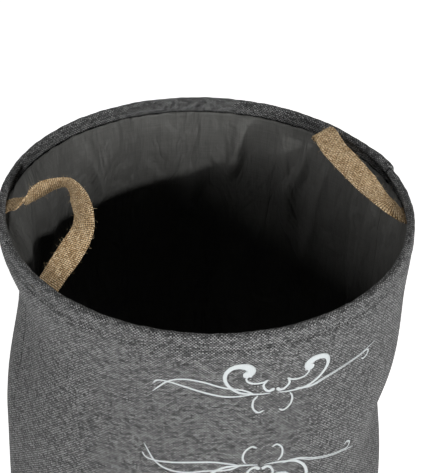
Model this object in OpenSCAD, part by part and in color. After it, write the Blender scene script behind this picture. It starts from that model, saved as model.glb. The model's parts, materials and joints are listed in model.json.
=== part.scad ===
// Round collapsible fabric laundry hamper. Its rim is a sewn casing over a wire hoop,
// and two webbing handles are tucked into the hem at its left and right.
// +Z is up, the origin is the centre of the base on the floor, -Y is the front.

/* [Body] */
// Outside diameter of the fabric tube
body_d = 380; // [350:5:400]
// Height from the floor to the top of the rim
body_h = 500; // [440:10:560]
// How far the tube is drawn in below the rim
waist_depth = 8.5; // [0:0.5:10]
// Distance of the waist below the top of the rim
waist_drop = 72; // [70:1:90]
// Height over which the tube widens again below the waist
waist_fade = 130; // [100:5:160]

/* [Cloth] */
// Thickness of the outer cloth
cloth_t = 1.2; // [0.8:0.1:1.2]
// Thickness of the lining
lining_t = 0.5; // [0.3:0.1:0.5]
// Space between the outer cloth and the lining
layer_gap = 1.6; // [1.5:0.1:1.8]
// Width of each pressed seam allowance
allowance_w = 12; // [8:1:15]

/* [Rim] */
// Thickness of the rolled rim
roll_d = 7.5; // [7.4:0.1:8]
// Height of the hem, from the top of the rim to its lower edge
hem_h = 14; // [13:0.5:16]
// Diameter of the hoop wire
hoop_wire_d = 3.2; // [2.6:0.1:3.2]
// Outside diameter of the sleeve that joins the hoop's ends
ferrule_d = 4.8; // [4.4:0.1:4.8]
// Length of the sleeve along the hoop
ferrule_len = 25; // [20:1:30]
// Number of stitches in each row round the rim
rim_stitches = 240; // [120:40:280]

/* [Handles] */
// Width of the webbing
webbing_w = 25; // [20:1:25]
// Thickness of the webbing
webbing_t = 2; // [1.6:0.1:2]
// Angle from the side seam to the middle of each tucked-in end
tab_angle = 19; // [18:0.5:20]

/* [Base] */
// Thickness of the stiffening board
board_t = 3; // [2:0.5:4]
// Height of the bound seam that stands up inside the base
binding_h = 12; // [10:1:16]
// Number of stitches round the bound seam
base_stitches = 160; // [80:40:200]

/* [Hidden] */
$fn = 96;

gap = 0.3;
seam_gap_deg = 0.05;
body_r = body_d / 2;

roll_r = roll_d / 2;
hoop_r = body_r - roll_r;
hoop_z = body_h - roll_r;
hem_z = body_h - hem_h;
hem_in_r = body_r - 5.5;
channel_r = hoop_wire_d / 2 + 0.15;
ferrule_half_deg = ferrule_len / 2 / hoop_r * 180 / PI;
hoop_gap_deg = 0.6;

wall_top = hem_z - gap;
lining_top = hem_z - 2.5;
waist_z = body_h - waist_drop;
waist_rise = wall_top - waist_z;
profile_steps = 20;

base_outer_t = cloth_t;
board_z = base_outer_t + gap;
base_lining_z = board_z + board_t + gap;
board_r = body_r - 9;
binding_out_r = body_r - cloth_t - layer_gap - lining_t - gap;
binding_t = 2.4;

thread_t = 0.5;
dash_share = 0.6;

// The tucked-in ends run down out of the hem, curl inward and stop at the hinge line.
tuck_r = body_r - 3.4;
hinge_x = body_r - 28.4;
hinge_z = body_h - 12;
hinge_y = tuck_r * sin(tab_angle) - 0.8;
end_clear = 0.3;
tab_clear = 1.4;
pocket_in_r = hem_in_r + 0.9;
pocket_out_r = tuck_r + 1.6;
pocket_deg = (webbing_w / 2 + 1.2) / tuck_r * 180 / PI;

// ---- helpers -------------------------------------------------------------------------

// Outside radius of the fabric tube at height z
function wall_r(z) =
    let (span = z > waist_z ? waist_rise : waist_fade,
         reach = min(1, abs(z - waist_z) / span))
    body_r - waist_depth * (1 + cos(180 * reach)) / 2;

// Heights of the tube's profile points: close together at the waist, none where it is straight
function profile_z(low, high) =
    let (from = waist_z - waist_fade)
    concat([low], [for (i = [0 : profile_steps]) from + (high - from) * i / profile_steps]);

// How far the lining's outside stands in from the tube's outside
function lining_inset(z) =
    cloth_t + (z > hem_z - 24 ? gap + (layer_gap - gap) * max(0, (lining_top - 3 - z) / 21) : layer_gap);

module shell_profile(low, high, outer_inset, thick) {
    zs = profile_z(low, high);
    n = len(zs);
    polygon(concat([for (z = zs) [wall_r(z) - outer_inset, z]],
                   [for (i = [n - 1 : -1 : 0]) [wall_r(zs[i]) - outer_inset - thick, zs[i]]]));
}

module half_turn(front) {
    start = (front ? 180 : 0) + seam_gap_deg;
    rotate([0, 0, start]) rotate_extrude(angle = 180 - 2 * seam_gap_deg) children();
}

module arc_of(middle_deg, half_deg) {
    rotate([0, 0, middle_deg - half_deg]) rotate_extrude(angle = 2 * half_deg) children();
}

module dashes(count, r, z, length) {
    for (i = [0 : count - 1])
        rotate([0, 0, (i + 0.5) * 360 / count])
            translate([r, -length / 2, z - thread_t / 2]) cube([thread_t, length, thread_t]);
}

// A point of a smooth curve through four neighbouring stations, at share s of the middle stretch
function curve(a, b, c, d, s) =
    0.5 * ((2 * b) + (c - a) * s + (2 * a - 5 * b + 4 * c - d) * s * s
           + (3 * b - a - 3 * c + d) * s * s * s);
function smooth(stations, steps) =
    let (n = len(stations))
    concat([for (i = [0 : n - 2]) for (k = [0 : steps - 1])
            curve(stations[max(i - 1, 0)], stations[i], stations[i + 1],
                  stations[min(i + 2, n - 1)], k / steps)],
           [stations[n - 1]]);
function unit(v) = v / norm(v);

// Sweeps flat webbing along stations of the form [x, y, z, across_x, across_y, across_z]
module webbing(stations, steps) {
    s = smooth(stations, steps);
    n = len(s);
    p = [for (q = s) [q[0], q[1], q[2]]];
    along = [for (i = [0 : n - 1]) unit(p[min(i + 1, n - 1)] - p[max(i - 1, 0)])];
    across = [for (q = s) unit([q[3], q[4], q[5]])];
    face = [for (i = [0 : n - 1]) unit(cross(along[i], across[i]))];
    rings = [for (i = [0 : n - 1]) for (c = [[-1, -1], [1, -1], [1, 1], [-1, 1]])
             p[i] + c[0] * webbing_w / 2 * across[i] + c[1] * webbing_t / 2 * face[i]];
    sides = [for (i = [0 : n - 2]) for (k = [0 : 3])
             let (a = 4 * i + k, b = 4 * i + (k + 1) % 4) each [[a, a + 4, b], [b, a + 4, b + 4]]];
    last = 4 * (n - 1);
    polyhedron(rings, concat(sides, [[0, 1, 2], [0, 2, 3],
                      [last, last + 2, last + 1], [last, last + 3, last + 2]]), convexity = 6);
}

// ---- base ----------------------------------------------------------------------------

module base_outer() {
    color("dimgray") cylinder(r = body_r - cloth_t - gap, h = base_outer_t);
}

module base_board() {
    color("tan") translate([0, 0, board_z]) cylinder(r = board_r, h = board_t);
}

module base_lining() {
    color([0.26, 0.26, 0.27])
        translate([0, 0, base_lining_z]) cylinder(r = board_r, h = lining_t);
}

// The seam of wall and base, wrapped in tape with a rounded upper edge
module base_binding() {
    color([0.2, 0.2, 0.21]) rotate_extrude() {
        translate([binding_out_r - binding_t, board_z])
            square([binding_t, binding_h - binding_t / 2]);
        translate([binding_out_r - binding_t / 2, board_z + binding_h - binding_t / 2])
            circle(r = binding_t / 2);
    }
}

module base_stitching() {
    length = dash_share * 2 * PI * binding_out_r / base_stitches;
    color([0.35, 0.35, 0.36])
        dashes(base_stitches, binding_out_r - binding_t - thread_t, board_z + 0.6 * binding_h, length);
}

// ---- walls ---------------------------------------------------------------------------

module outer_wall_front() {
    color([0.45, 0.46, 0.47]) half_turn(true) shell_profile(0, wall_top, 0, cloth_t);
}

module outer_wall_back() {
    color([0.45, 0.46, 0.47]) half_turn(false) shell_profile(0, wall_top, 0, cloth_t);
}

// Both panels' edges, pressed open against the inside of the outer cloth
module side_seam(middle_deg) {
    half_deg = allowance_w / body_r * 180 / PI;
    arc_of(middle_deg, half_deg)
        shell_profile(binding_h + 6, hem_z - 30, cloth_t + 0.15, layer_gap - 0.3);
}

module side_seam_left() {
    color([0.38, 0.38, 0.39]) side_seam(180);
}

module side_seam_right() {
    color([0.38, 0.38, 0.39]) side_seam(0);
}

module lining_profile() {
    zs = profile_z(board_z, lining_top);
    n = len(zs);
    polygon(concat([for (z = zs) [wall_r(z) - lining_inset(z), z]],
                   [for (i = [n - 1 : -1 : 0])
                    [wall_r(zs[i]) - lining_inset(zs[i]) - lining_t, zs[i]]]));
}

module lining_front() {
    color([0.26, 0.26, 0.27]) half_turn(true) lining_profile();
}

module lining_back() {
    color([0.26, 0.26, 0.27]) half_turn(false) lining_profile();
}

// ---- rim -----------------------------------------------------------------------------

module rim_hoop() {
    color("silver") arc_of(270, 180 - hoop_gap_deg)
        translate([hoop_r, hoop_z]) circle(r = hoop_wire_d / 2);
}

module rim_hoop_ferrule() {
    color("goldenrod") arc_of(90, ferrule_half_deg) translate([hoop_r, hoop_z]) difference() {
        circle(r = ferrule_d / 2);
        circle(r = hoop_wire_d / 2 + 0.05);
    }
}

module casing_profile() {
    difference() {
        union() {
            translate([hoop_r, hoop_z]) circle(r = roll_r);
            translate([hem_in_r, hem_z]) square([body_r - hem_in_r, hoop_z - hem_z]);
        }
        translate([hoop_r, hoop_z]) circle(r = channel_r);
    }
}

// Slots between the hem's two leaves, which take the ends of the webbing
module tab_pockets() {
    for (side = [0, 180]) for (way = [-1, 1])
        arc_of(side + way * tab_angle, pocket_deg)
            translate([pocket_in_r, hem_z - 1]) square([pocket_out_r - pocket_in_r, 8]);
}

module rim_casing(front) {
    difference() {
        half_turn(front) casing_profile();
        tab_pockets();
        if (!front) arc_of(90, ferrule_half_deg + 0.3)
            translate([hoop_r, hoop_z]) circle(r = ferrule_d / 2 + 0.15);
    }
}

module rim_casing_front() {
    color([0.4, 0.41, 0.42]) rim_casing(true);
}

module rim_casing_back() {
    color([0.4, 0.41, 0.42]) rim_casing(false);
}

// One row shows outside and one inside, just above the hem's lower edge
module rim_stitching() {
    length = dash_share * 2 * PI * body_r / rim_stitches;
    color([0.3, 0.3, 0.31]) {
        dashes(rim_stitches, body_r, hem_z + 4, length);
        dashes(rim_stitches, hem_in_r - thread_t, hem_z + 3, length);
    }
}

// ---- handles -------------------------------------------------------------------------

// The end of the webbing in the hem at way * tab_angle from the right-hand seam
module strap_tab(way) {
    rx = cos(tab_angle);
    ry = way * sin(tab_angle);
    bx = -ry;
    by = rx;
    end_x = hinge_x + tab_clear;
    turn_x = end_x + 5;
    end_y = way * hinge_y;
    webbing([
        [tuck_r * rx, tuck_r * ry, hem_z + 6, bx, by, 0],
        [tuck_r * rx, tuck_r * ry, hem_z + 1, bx, by, 0],
        [(tuck_r - 0.6) * rx, (tuck_r - 0.6) * ry, hem_z - 2, bx, by, 0],
        [(tuck_r - 3) * rx, (tuck_r - 3) * ry, hem_z - 4.2, bx, by, 0],
        [(tuck_r - 6) * rx, (tuck_r - 6) * ry, hem_z - 4.6, bx, by, 0],
        [turn_x, end_y, hinge_z - 2.4, bx / 2, 1, 0],
        [end_x, end_y, hinge_z - 0.6, 0, 1, 0]], 3);
}

module strap_tabs() {
    for (way = [-1, 1]) strap_tab(way);
}

module strap_tabs_right() {
    color("burlywood") strap_tabs();
}

module strap_tabs_left() {
    color("burlywood") mirror([1, 0, 0]) strap_tabs();
}

// A loop's stations are [inward, along, up, across], measured from the middle of its hinge line
function placed(station, side) =
    [side * (hinge_x - station[0]), station[1], hinge_z + station[2],
     -side * station[3], station[4], station[5]];

// Stands on its edge out over the mouth, turns at its crest and comes back lying open
loop_left = [
    [end_clear, hinge_y, 0.1, 0, 1, 0],
    [6, hinge_y + 1, 4, 0.2, 0.9, -0.3],
    [14, hinge_y + 2, 10, 0.1, 0.5, -0.8],
    [24, hinge_y + 2, 16, 0.2, 0.4, -0.9],
    [34, hinge_y - 1, 21, 0.3, 0.5, -0.8],
    [42, hinge_y - 7, 25, 0.3, 0.5, -0.8],
    [46, hinge_y - 18, 27, 0.1, 0.4, -0.9],
    [47, 29, 27, -0.3, 0.3, -0.9],
    [47, 17, 26, -0.4, 0.5, -0.8],
    [45, 4, 23, -0.5, 0.6, -0.6],
    [41, -9, 19, -0.5, 0.8, -0.3],
    [34, -20, 15, -0.6, 0.8, -0.1],
    [25, -30, 11, -0.6, 0.8, 0],
    [15, -41, 7, -0.5, 0.9, 0],
    [7, -hinge_y + 7, 3, -0.3, 1, 0],
    [end_clear, -hinge_y, 0.1, 0, 1, 0]];

// Lies flat along the wall, higher at its far end
loop_right = [
    [end_clear, hinge_y, 0.1, 0, 1, 0],
    [6, hinge_y - 1, 4, 0.1, 1, 0],
    [14, hinge_y - 7, 11, 0.5, 0.8, 0],
    [17, hinge_y - 20, 15, 1, 0.3, 0],
    [14, 22, 14, 1, 0, -0.1],
    [11, 0, 12, 1, -0.1, -0.1],
    [10, -22, 10, 1, -0.1, 0],
    [12, -38, 8, 0.9, -0.4, 0],
    [10, -hinge_y + 9, 6, 0.6, -0.8, 0],
    [5, -hinge_y + 1, 3, 0.1, -1, 0],
    [end_clear, -hinge_y, 0.1, 0, -1, 0]];

module handle_left() {
    color("burlywood") webbing([for (s = loop_left) placed(s, -1)], 3);
}

module handle_right() {
    color("burlywood") webbing([for (s = loop_right) placed(s, 1)], 3);
}

base_outer();
base_board();
base_lining();
base_binding();
base_stitching();
outer_wall_front();
outer_wall_back();
side_seam_left();
side_seam_right();
lining_front();
lining_back();
rim_hoop();
rim_hoop_ferrule();
rim_casing_front();
rim_casing_back();
rim_stitching();
strap_tabs_left();
strap_tabs_right();
handle_left();
handle_right();
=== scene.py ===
# %% [markdown]
# # A round fabric laundry hamper with jute handles
#
# The real hamper is a tube of coated linen-look cloth, closed at the bottom by a stiffened disc and held
# open at the top by a wire hoop sewn into a rolled hem. Two loops of jute webbing are tucked into that hem.
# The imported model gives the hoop, the board and the place of everything else. This lesson adds the cloth,
# the webbing, the stitches and every finish.

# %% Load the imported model
import json
import math

import bmesh
import bpy
import numpy as np
from mathutils import Euler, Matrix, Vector


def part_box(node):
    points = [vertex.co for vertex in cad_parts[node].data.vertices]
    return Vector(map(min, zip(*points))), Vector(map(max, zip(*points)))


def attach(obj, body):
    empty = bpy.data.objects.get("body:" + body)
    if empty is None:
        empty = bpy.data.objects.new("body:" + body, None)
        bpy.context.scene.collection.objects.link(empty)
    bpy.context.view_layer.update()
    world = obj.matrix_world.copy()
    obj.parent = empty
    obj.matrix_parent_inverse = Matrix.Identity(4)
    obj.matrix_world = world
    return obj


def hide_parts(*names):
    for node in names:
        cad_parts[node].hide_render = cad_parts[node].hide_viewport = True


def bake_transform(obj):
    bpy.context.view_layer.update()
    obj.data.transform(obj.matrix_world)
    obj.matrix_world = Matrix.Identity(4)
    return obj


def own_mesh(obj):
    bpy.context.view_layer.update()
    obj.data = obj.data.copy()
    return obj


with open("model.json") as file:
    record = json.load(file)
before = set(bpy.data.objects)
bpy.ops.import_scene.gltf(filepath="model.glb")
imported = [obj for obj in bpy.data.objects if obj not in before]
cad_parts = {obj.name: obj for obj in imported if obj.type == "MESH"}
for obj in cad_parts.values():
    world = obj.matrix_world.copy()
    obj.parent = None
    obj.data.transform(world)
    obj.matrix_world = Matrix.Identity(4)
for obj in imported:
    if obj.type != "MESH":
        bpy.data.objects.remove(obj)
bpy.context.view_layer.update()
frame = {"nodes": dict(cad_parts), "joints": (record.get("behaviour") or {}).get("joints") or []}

# %% [markdown]
# ## Sizes
#
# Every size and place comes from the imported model, so the cloth fits the hoop and the base that are
# already there. Lengths are in metres, angles round the tube in degrees, counted from +X towards +Y.

# %% Read the sizes
MM = 0.001
body_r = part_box("outer_wall_back")[1][0]
rim_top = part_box("rim_casing_back")[1][2]
hem_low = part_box("rim_casing_back")[0][2]
hoop_low, hoop_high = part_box("rim_hoop")
hoop_z = (hoop_low[2] + hoop_high[2]) / 2
roll_r = rim_top - hoop_z
hoop_r = body_r - roll_r
cloth_t = 1.2 * MM
lining_t = 0.5 * MM
binding_low, binding_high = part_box("base_binding")
swings = {j["name"]: j for j in frame["joints"] if j["type"] == "hinge"}
hinge_x = swings["right_handle_swing"]["pos_m"][0]
hinge_z = swings["right_handle_swing"]["pos_m"][2]
strap_w = 25 * MM
strap_t = 2 * MM
print(f"tube radius {body_r:.3f}, rim top {rim_top:.3f}, hem edge {hem_low:.3f}")

# %% [markdown]
# ## Camera
#
# The camera looks down into the mouth from the front and a little to the left, with a slight roll. It is
# placed by its distance and angles from the middle of the hoop, which sits a little above the middle of
# the picture.

# %% Place the camera
CAMERA_DISTANCE = 1.4
CAMERA_AZIMUTH = -22.5
CAMERA_ELEVATION = 35.0
CAMERA_ROLL = 2.47
CAMERA_LENS = 116.6
HOOP_RIGHT_OF_VIEW = -0.00535
HOOP_ABOVE_VIEW = 0.01965


def place_camera():
    camera = bpy.data.objects.new("camera", bpy.data.cameras.new("camera"))
    bpy.context.collection.objects.link(camera)
    camera.data.lens = CAMERA_LENS
    tilt = math.radians(90 - CAMERA_ELEVATION)
    facing_hoop = Euler((tilt, 0, math.radians(CAMERA_AZIMUTH))).to_quaternion()
    rolled = facing_hoop @ Euler((0, 0, math.radians(CAMERA_ROLL))).to_quaternion()
    hoop_in_view = Vector((HOOP_RIGHT_OF_VIEW, HOOP_ABOVE_VIEW, -1))
    aside = Vector((0, 0, -1)).rotation_difference(hoop_in_view)
    camera.rotation_mode = "QUATERNION"
    camera.rotation_quaternion = rolled @ aside.inverted()
    camera.location = Vector((0, 0, hoop_z)) + facing_hoop @ Vector((0, 0, CAMERA_DISTANCE))
    bpy.context.scene.camera = camera
    return camera


camera = place_camera()
print("camera at", [round(v, 3) for v in camera.location])

# %% [markdown]
# ## Light and floor
#
# One low, fairly small lamp from the front right throws the near rim's shadow across the inside of the
# far wall. A broad soft panel and a dim sky fill the rest. The floor is a plain pale sheet.

# %% Light the studio
KEY_AZIMUTH = -71.0
KEY_ELEVATION = 14.8


def add_panel(name, azimuth, elevation, distance, size, watts):
    data = bpy.data.lights.new(name, "AREA")
    data.shape = "RECTANGLE"
    data.size, data.size_y = size
    data.energy = watts
    data.color = (1.0, 0.99, 0.975)
    lamp = bpy.data.objects.new(name, data)
    bpy.context.collection.objects.link(lamp)
    a, e = math.radians(azimuth), math.radians(elevation)
    towards = Vector((math.cos(e) * math.cos(a), math.cos(e) * math.sin(a), math.sin(e)))
    lamp.location = Vector((0, 0, hoop_z)) + distance * towards
    lamp.rotation_euler = towards.to_track_quat("Z", "Y").to_euler()
    return lamp


def light_studio():
    add_panel("key", KEY_AZIMUTH, KEY_ELEVATION, 3.0, (0.07, 0.07), 31)
    add_panel("front_panel", -88, 8.0, 2.6, (1.2, 0.62), 34)
    add_panel("left_panel", -162, 17.0, 2.5, (1.0, 0.75), 23)
    add_panel("overhead", 68, 78, 3.4, (1.6, 1.6), 46)
    world = bpy.data.worlds.new("studio")
    world.use_nodes = True
    background = world.node_tree.nodes["Background"]
    background.inputs["Color"].default_value = (0.97, 0.98, 1.0, 1)
    background.inputs["Strength"].default_value = 0.006
    bpy.context.scene.world = world
    bpy.context.scene.view_settings.view_transform = "Standard"


def lay_floor():
    half = 6.0
    data = bpy.data.meshes.new("floor")
    corners = [(-half, -half, 0), (half, -half, 0), (half, half, 0), (-half, half, 0)]
    data.from_pydata(corners, [], [(0, 1, 2, 3)])
    floor = bpy.data.objects.new("floor", data)
    bpy.context.collection.objects.link(floor)
    paint = bpy.data.materials.new("pale_floor")
    paint.use_nodes = True
    shader = paint.node_tree.nodes["Principled BSDF"]
    shader.inputs["Base Color"].default_value = (0.93, 0.93, 0.93, 1)
    shader.inputs["Roughness"].default_value = 0.8
    shader.inputs["Emission Color"].default_value = (1, 1, 1, 1)
    shader.inputs["Emission Strength"].default_value = 0.72
    data.materials.append(paint)


light_studio()
lay_floor()

# %% [markdown]
# ## Building material trees
#
# Materials are node trees. A small helper adds a node, sets its values and joins its inputs, so each
# finish below reads as a short recipe.


# %% Helpers for node trees
def add_node(tree, kind, values=None, **settings):
    """Adds a node; values maps an input's name or number to a value or to another node's output."""
    made = tree.nodes.new(kind)
    for key, setting in settings.items():
        setattr(made, key, setting)
    for key, value in (values or {}).items():
        if isinstance(value, bpy.types.NodeSocket):
            tree.links.new(value, made.inputs[key])
        else:
            made.inputs[key].default_value = value
    return made


def maths(tree, operation, first, second=0.0, third=0.0):
    made = add_node(tree, "ShaderNodeMath", {0: first, 1: second, 2: third}, operation=operation)
    return made.outputs[0]


def new_group(name, inputs, outputs):
    """A shader node group; inputs maps each name to (socket kind, default)."""
    group = bpy.data.node_groups.new(name, "ShaderNodeTree")
    for label, (kind, default) in inputs.items():
        socket = group.interface.new_socket(label, in_out="INPUT", socket_type=kind)
        if default is not None:
            socket.default_value = default
    for label in outputs:
        group.interface.new_socket(label, in_out="OUTPUT", socket_type="NodeSocketFloat")
    return group, group.nodes.new("NodeGroupInput"), group.nodes.new("NodeGroupOutput")


# %% [markdown]
# ## Woven thread
#
# All the cloth here is a plain weave: each thread goes over one crossing thread and under the next. The
# group works out, from a map in metres, which thread is on top, how high it stands, how deep the gap
# beside it is, and a shade that changes from thread to thread and slowly along each one. That slow change
# is what makes heathered cloth look heathered.


# %% The weave group
def make_weave_group():
    number = "NodeSocketFloat"
    group, given, result = new_group(
        "plain_weave",
        {"Map": ("NodeSocketVector", None), "Pitch Across": (number, 0.001), "Pitch Along": (number, 0.001),
         "Thread Width": (number, 0.9), "Waver": (number, 0.1), "Slub Length": (number, 0.02),
         "Warp Contrast": (number, 0.0), "Fleck": (number, 0.0)},
        ["Height", "Gap", "Shade"])
    place = add_node(group, "ShaderNodeSeparateXYZ", {0: given.outputs["Map"]})
    drift = add_node(group, "ShaderNodeTexNoise", {
        "Vector": given.outputs["Map"], "Scale": 260.0, "Detail": 2.0})
    drifted = add_node(group, "ShaderNodeSeparateColor", {0: drift.outputs["Color"]})
    scaled, cell, inside = [], [], []
    for axis, pitch in ((0, "Pitch Across"), (1, "Pitch Along")):
        steps = maths(group, "DIVIDE", place.outputs[axis], given.outputs[pitch])
        shift = maths(group, "MULTIPLY", maths(group, "SUBTRACT", drifted.outputs[axis], 0.5),
                      given.outputs["Waver"])
        moved = maths(group, "ADD", steps, shift)
        scaled.append(moved)
        cell.append(maths(group, "FLOOR", moved))
        centred = maths(group, "SUBTRACT", maths(group, "FRACT", moved), 0.5)
        half_thread = maths(group, "MULTIPLY", given.outputs["Thread Width"], 0.5)
        share = maths(group, "DIVIDE", centred, half_thread)
        inside.append(maths(group, "SUBTRACT", 1.0, maths(group, "MULTIPLY", share, share)))
    over = maths(group, "FLOORED_MODULO", maths(group, "ADD", cell[0], cell[1]), 2.0)
    under = maths(group, "SUBTRACT", 1.0, over)
    warp_high = maths(group, "MULTIPLY", inside[0], maths(group, "MULTIPLY_ADD", over, 0.6, 0.4))
    weft_high = maths(group, "MULTIPLY", inside[1], maths(group, "MULTIPLY_ADD", under, 0.6, 0.4))
    warp_top = maths(group, "GREATER_THAN", warp_high, weft_high)
    height = maths(group, "MAXIMUM", warp_high, weft_high)
    height = maths(group, "MAXIMUM", height, 0.0)
    depth = maths(group, "SUBTRACT", 1.0, maths(group, "MULTIPLY", height, 2.2))
    gap = maths(group, "MAXIMUM", depth, 0.0)
    shades = []
    for thread, run in ((0, 1), (1, 0)):
        along = maths(group, "DIVIDE", place.outputs[run], given.outputs["Slub Length"])
        at = add_node(group, "ShaderNodeCombineXYZ", {
            0: maths(group, "MULTIPLY", cell[thread], 7.31), 1: along, 2: float(thread * 19)})
        mottle = add_node(group, "ShaderNodeTexNoise", {
            "Vector": at.outputs[0], "Scale": 1.0, "Detail": 3.0})
        shades.append(mottle.outputs["Fac"])
    warp_shade = maths(group, "MULTIPLY", shades[0], warp_top)
    weft_shade = maths(group, "MULTIPLY", shades[1], maths(group, "SUBTRACT", 1.0, warp_top))
    group.links.new(height, result.inputs["Height"])
    group.links.new(gap, result.inputs["Gap"])
    warp_lead = maths(group, "SUBTRACT", warp_top, 0.5)
    contrast = maths(group, "MULTIPLY", warp_lead, given.outputs["Warp Contrast"])
    shade = maths(group, "SUBTRACT", maths(group, "ADD", warp_shade, weft_shade), contrast)
    crossing = add_node(group, "ShaderNodeCombineXYZ", {0: cell[0], 1: cell[1]})
    speck = add_node(group, "ShaderNodeTexWhiteNoise", {"Vector": crossing.outputs[0]},
                     noise_dimensions="2D")
    chance = maths(group, "SUBTRACT", speck.outputs["Value"], 0.5)
    shade = maths(group, "MULTIPLY_ADD", chance, given.outputs["Fleck"], shade)
    group.links.new(shade, result.inputs["Shade"])
    return group


weave_group = make_weave_group()
print("weave group has", len(weave_group.nodes), "nodes")


# %% [markdown]
# ## Uneven tone, and painted sheen on the lining
#
# Nothing made of cloth is one even tone. This group gives a slow, cloudy change over the hamper that the
# cloths share, each with its own strength. On the lining it is strong, and there it is painted sheen and
# painted crumple shade as well as uneven tone.


# %% The cloudy tone group
def make_cloud_group():
    group, given, result = new_group(
        "cloudy_tone", {"Scale": ("NodeSocketFloat", 8.0), "Strength": ("NodeSocketFloat", 0.2)}, ["Factor"])
    place = add_node(group, "ShaderNodeTexCoord")
    wide = add_node(group, "ShaderNodeTexNoise", {
        "Vector": place.outputs["Object"], "Scale": given.outputs["Scale"], "Detail": 4.0, "Roughness": 0.6})
    centred = maths(group, "SUBTRACT", wide.outputs["Fac"], 0.5)
    factor = maths(group, "MULTIPLY_ADD", centred, given.outputs["Strength"], 1.0)
    group.links.new(factor, result.inputs["Factor"])
    return group


cloud_group = make_cloud_group()


# %% [markdown]
# ## Starting a material
#
# Every finish starts the same way, with a Principled BSDF that node trees feed. These helpers start one,
# place a group in it, spread colours along a ramp, tint them, and crumple a surface with a bump.


# %% Helpers for materials
def start_material(name):
    material = bpy.data.materials.new(name)
    material.use_nodes = True
    return material, material.node_tree, material.node_tree.nodes["Principled BSDF"]


def use_group(tree, group, values):
    return add_node(tree, "ShaderNodeGroup", values, node_tree=group)


def ramp(tree, factor, stops):
    made = add_node(tree, "ShaderNodeValToRGB", {0: factor})
    elements = made.color_ramp.elements
    while len(elements) < len(stops):
        elements.new(0.5)
    for element, (position, colour) in zip(elements, stops):
        element.position = position
        element.color = (*colour, 1)
    return made.outputs["Color"]


def tinted(tree, colour, factor):
    """Colour times a factor that changes over the surface."""
    made = add_node(tree, "ShaderNodeVectorMath", {0: colour, 1: factor}, operation="MULTIPLY")
    return made.outputs[0]


def wrinkled(tree, depth):
    """A bumped normal: broad facets of crumpled cloth with finer, longer wrinkles between them."""
    place = add_node(tree, "ShaderNodeTexCoord")
    drawn = add_node(tree, "ShaderNodeMapping", {
        "Vector": place.outputs["Object"], "Scale": (1.0, 1.0, 0.45)})
    facets = add_node(tree, "ShaderNodeTexNoise", {
        "Vector": drawn.outputs[0], "Scale": 26.0, "Detail": 2.0, "Roughness": 0.45, "Distortion": 1.6})
    ridge = maths(tree, "ABSOLUTE", maths(tree, "SUBTRACT", facets.outputs["Fac"], 0.5))
    fine = add_node(tree, "ShaderNodeTexNoise", {
        "Vector": drawn.outputs[0], "Scale": 95.0, "Detail": 3.0, "Roughness": 0.5, "Distortion": 0.8})
    height = maths(tree, "MULTIPLY_ADD", fine.outputs["Fac"], 0.22, ridge)
    made = add_node(tree, "ShaderNodeBump", {"Height": height, "Distance": depth, "Strength": 1.0})
    return made.outputs["Normal"]


def woven_material(name, pitch, stops, slub, waver, width, contrast, bump, gap_painted_shade, rough, cloud, sheen,
                   fleck=0.0, wrinkle=0.0):
    """Cloth woven at the given thread pitch, coloured along the ramp's stops by each thread's tone, with
    painted shade darkening the gaps between threads.
    """
    material, tree, shader = start_material(name)
    place = add_node(tree, "ShaderNodeUVMap", uv_map="cloth")
    weave = use_group(tree, weave_group, {
        "Map": place.outputs["UV"], "Pitch Across": pitch[0], "Pitch Along": pitch[1], "Thread Width": width,
        "Waver": waver, "Slub Length": slub, "Warp Contrast": contrast, "Fleck": fleck})
    tone = use_group(tree, cloud_group, {"Scale": cloud[0], "Strength": cloud[1]})
    shade = ramp(tree, weave.outputs["Shade"], stops)
    # painted shade: the colour is darkened in the gaps between threads, where shade would fall
    painted_gap_shade = maths(tree, "SUBTRACT", 1.0, maths(tree, "MULTIPLY", weave.outputs["Gap"], gap_painted_shade))
    colour = tinted(tree, shade, maths(tree, "MULTIPLY", painted_gap_shade, tone.outputs["Factor"]))
    tree.links.new(colour, shader.inputs["Base Color"])
    fluff = maths(tree, "MULTIPLY_ADD", weave.outputs["Gap"], 0.1, rough)
    tree.links.new(fluff, shader.inputs["Roughness"])
    raised = add_node(tree, "ShaderNodeBump", {
        "Height": weave.outputs["Height"], "Distance": bump, "Strength": 1.0})
    tree.links.new(raised.outputs["Normal"], shader.inputs["Normal"])
    if wrinkle:
        tree.links.new(wrinkled(tree, wrinkle), raised.inputs["Normal"])
    shader.inputs["Specular IOR Level"].default_value = 0.25
    shader.inputs["Sheen Weight"].default_value = sheen
    shader.inputs["Sheen Roughness"].default_value = 0.5
    return material


# %% [markdown]
# ## The finishes
#
# The outer cloth mixes near-black, mid-grey and pale threads. The lining is a fine coated cloth with a
# faint gloss. The webbing is coarse jute, so its threads are wide. In every cloth the gaps between threads
# get painted shade, strongest in the jute and the outer cloth.

# %% Mix the cloths
outer_cloth = woven_material(
    "heathered_cloth", (1.5 * MM, 1.4 * MM),
    [(0.27, (0.009, 0.0095, 0.010)), (0.45, (0.040, 0.0415, 0.0425)), (0.56, (0.098, 0.100, 0.102)),
     (0.78, (0.34, 0.345, 0.348))],
    slub=7 * MM, waver=0.1, width=0.9, contrast=0.3, bump=0.7 * MM, gap_painted_shade=0.92, rough=0.85,
    cloud=(9.0, 0.25), sheen=0.08, fleck=0.22)
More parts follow.
